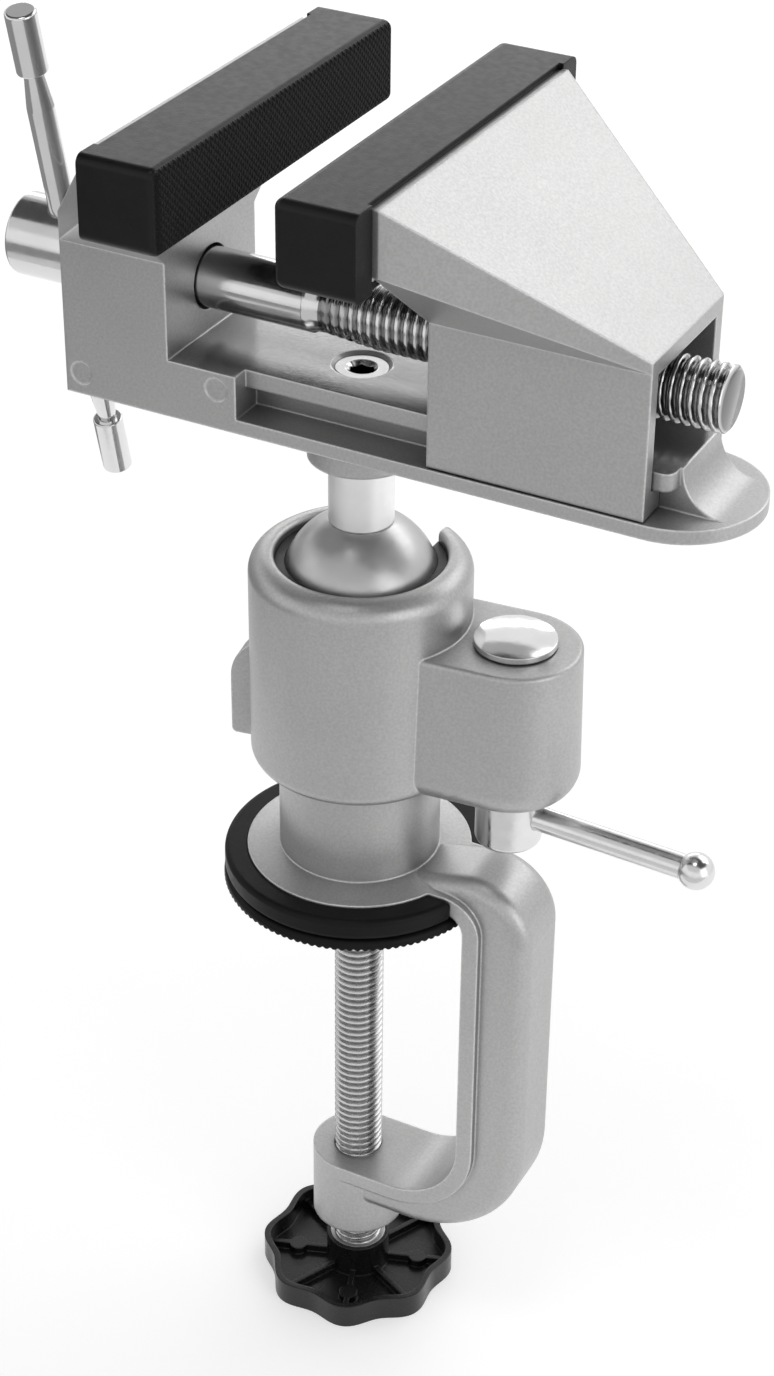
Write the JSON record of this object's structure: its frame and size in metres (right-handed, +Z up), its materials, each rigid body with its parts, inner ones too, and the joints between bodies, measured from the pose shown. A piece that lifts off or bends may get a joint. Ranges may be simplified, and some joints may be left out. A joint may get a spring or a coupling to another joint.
{
  "type": "ball vise",
  "caption": "Small bench vise on a locking ball joint, with rubber-faced jaws, a lead screw with a sliding bar, and a screw clamp for a table edge.",
  "frame": {"origin": "where the axis of the ball and of the clamp screw crosses the table's top, which is the underside of the upper pad", "axes": "+X points to the free tip of the lead screw and to the clamp's spine, +Y to the notch in the ball socket, +Z up"},
  "size_m": [0.1409, 0.079, 0.2628],
  "materials": {
    "cast_alloy": "satin silver paint over a fine cast grain",
    "black_rubber": "matt black moulded rubber",
    "liner_plastic": "matt black",
    "satin_steel": "satin turned steel",
    "polished_steel": "polished turned steel",
    "black_steel": "dark oxide",
    "chrome_plate": "bright chrome plate",
    "zinc_steel": "bright zinc plate",
    "brass_shoe": "plain turned",
    "brass_nut": "plain turned",
    "knob_plastic": "black moulded plastic, half gloss"
  },
  "bodies": {
    "clamp": {"clamp_frame": "cast_alloy", "upper_pad": "black_rubber"},
    "liner": {"ball_liner": "liner_plastic"},
    "ball": {"swivel_ball": "satin_steel", "ball_neck": "polished_steel", "ball_bolt": "chrome_plate"},
    "head": {"vise_body": "cast_alloy", "fixed_jaw_cover": "black_rubber", "screw_keeper": "black_steel"},
    "jaw": {"moving_jaw": "cast_alloy", "moving_jaw_cover": "black_rubber", "jaw_nut": "brass_nut"},
    "screw": {"lead_screw": "chrome_plate"},
    "bar": {"tommy_bar": "chrome_plate", "tommy_bar_cap_top": "chrome_plate", "tommy_bar_cap_bottom": "chrome_plate"},
    "lever": {"cam_pin": "chrome_plate", "lever_hub": "chrome_plate", "lever_rod": "chrome_plate", "lever_ball": "chrome_plate"},
    "shoe": {"lock_shoe": "brass_shoe"},
    "pad": {"pad_plate": "zinc_steel", "lower_pad": "black_rubber", "pad_collar": "zinc_steel"},
    "clamp_screw": {"clamp_screw": "zinc_steel", "hand_knob": "knob_plastic", "knob_insert": "zinc_steel"}
  },
  "joints": [
    {"name": "ball_yaw", "type": "hinge", "parent": "clamp", "child": "liner", "pos_m": [0, 0, 0.0608], "axis": [0, 0, 1], "range_deg": [-360, 0]},
    {"name": "ball_tilt", "type": "hinge", "parent": "liner", "child": "ball", "pos_m": [0, 0, 0.0608], "axis": [-1, 0, 0], "range_deg": [-42, 90]},
    {"name": "head_spin", "type": "hinge", "parent": "ball", "child": "head", "pos_m": [0, 0, 0.0608], "axis": [0, 0, 1], "continuous": true},
    {"name": "lead_screw_turn", "type": "hinge", "parent": "head", "child": "screw", "pos_m": [0, 0, 0.1136], "axis": [1, 0, 0], "range_deg": [-1980, 4120]},
    {"name": "jaw_slide", "type": "slide", "parent": "head", "child": "jaw", "axis": [1, 0, 0], "range_m": [-0.02, 0.0096]},
    {"name": "bar_slide", "type": "slide", "parent": "screw", "child": "bar", "axis": [0, -0.2309, 0.973], "range_m": [-0.0268, 0.0314]},
    {"name": "lever_turn", "type": "hinge", "parent": "clamp", "child": "lever", "pos_m": [0.02937, 0.00278, 0.0192], "axis": [0, 0, 1], "range_deg": [-95, 0]},
    {"name": "shoe_slide", "type": "slide", "parent": "clamp", "child": "shoe", "axis": [0.9956, 0.0941, 0], "range_m": [0, 0.00036]},
    {"name": "clamp_turn", "type": "hinge", "parent": "pad", "child": "clamp_screw", "pos_m": [0, 0, -0.05], "axis": [0, 0, 1], "range_deg": [-13205, 0]},
    {"name": "clamp_slide", "type": "slide", "parent": "clamp", "child": "pad", "axis": [0, 0, -1], "range_m": [0, 0.055]}
  ],
  "couplings": [
    {"joint": "lead_screw_turn", "follows": "jaw_slide", "rad_per_m": -3590.4},
    {"joint": "shoe_slide", "follows": "lever_turn", "m_per_rad": -0.00021109},
    {"joint": "clamp_turn", "follows": "clamp_slide", "rad_per_m": -4188.8}
  ]
}
